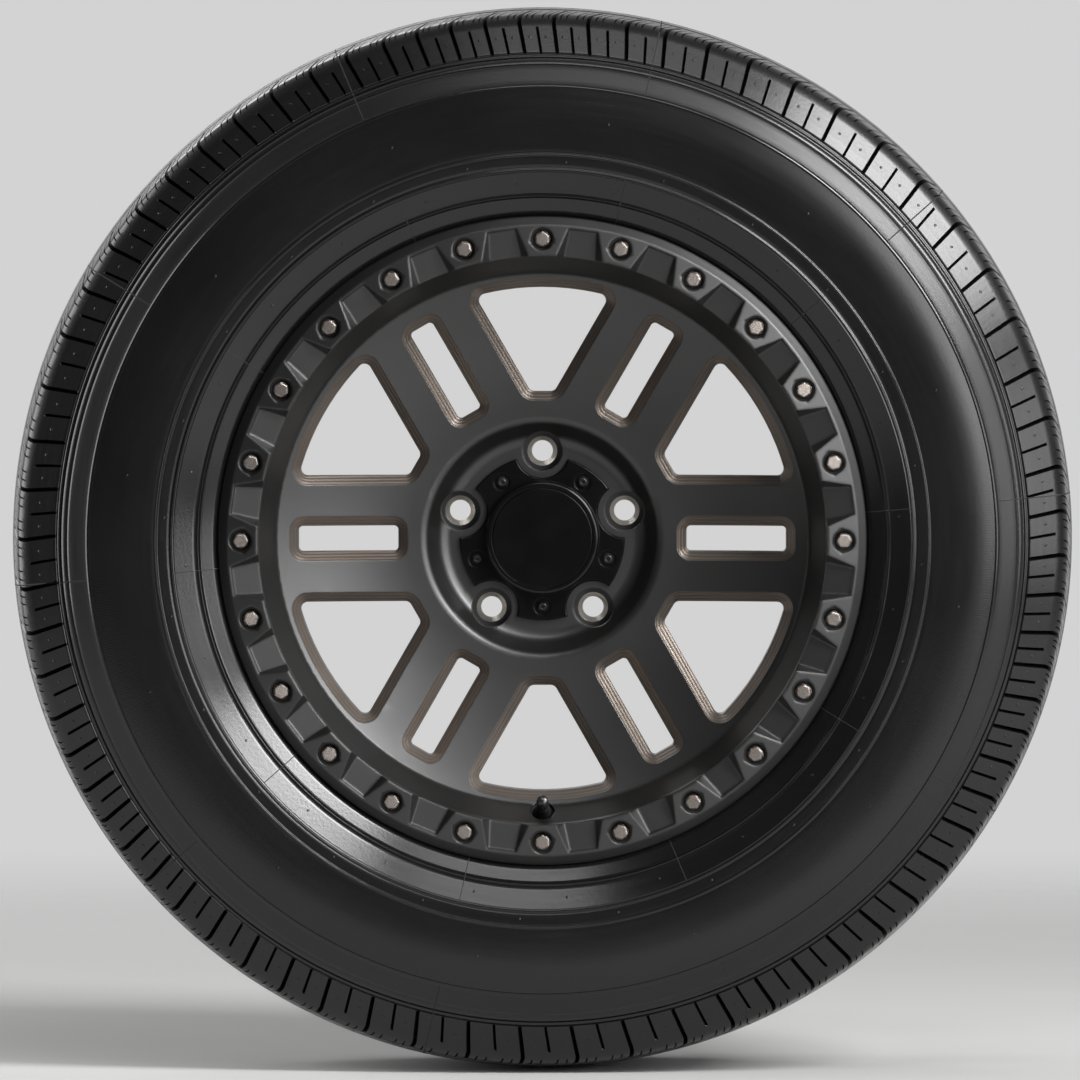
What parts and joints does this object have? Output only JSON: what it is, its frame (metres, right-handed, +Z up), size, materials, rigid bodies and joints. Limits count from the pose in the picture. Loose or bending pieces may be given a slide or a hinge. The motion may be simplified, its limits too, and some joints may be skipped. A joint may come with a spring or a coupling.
{
  "type": "car wheel with tyre",
  "caption": "Road tyre with grooved tread on a dark cast wheel with double spokes, a bolted outer ring, bevelled windows, a bolt-on centre cap and a snap-in valve.",
  "frame": {"origin": "wheel centre: on the spin axis, in the middle plane of the rim and tyre", "axes": "+Y along the spin axis from the street side to the hub side, +Z up, valve at the bottom"},
  "size_m": [0.8281, 0.272, 0.828],
  "materials": {
    "tyre_rubber": "matte moulded",
    "wheel_paint": "satin",
    "bolt_steel": "satin",
    "cap_plastic": "gloss",
    "screw_steel": "black oxide",
    "valve_rubber": "matte",
    "valve_brass": "machined",
    "valve_plastic": "satin"
  },
  "bodies": {
    "wheel": {"tyre": "tyre_rubber", "wheel": "wheel_paint", "outer_ring": "wheel_paint", "ring_bolts": "bolt_steel", "centre_cap": "cap_plastic", "cap_disc": "cap_plastic", "cap_screws": "screw_steel", "valve_stem": "valve_rubber", "valve_tube": "valve_brass", "valve_core": "valve_brass"},
    "valve_pin": {"valve_pin": "valve_brass"},
    "valve_cap": {"valve_cap": "valve_plastic"}
  },
  "joints": [
    {"name": "valve_cap_off", "type": "slide", "parent": "wheel", "child": "valve_cap", "axis": [0, -0.9272, 0.3746], "range_m": [0, 0.014]},
    {"name": "valve_pin_press", "type": "slide", "parent": "wheel", "child": "valve_pin", "axis": [0, 0.9272, -0.3746], "range_m": [0, 0.0015], "stiffness_N_per_m": 800, "springref_m": -0.002}
  ]
}
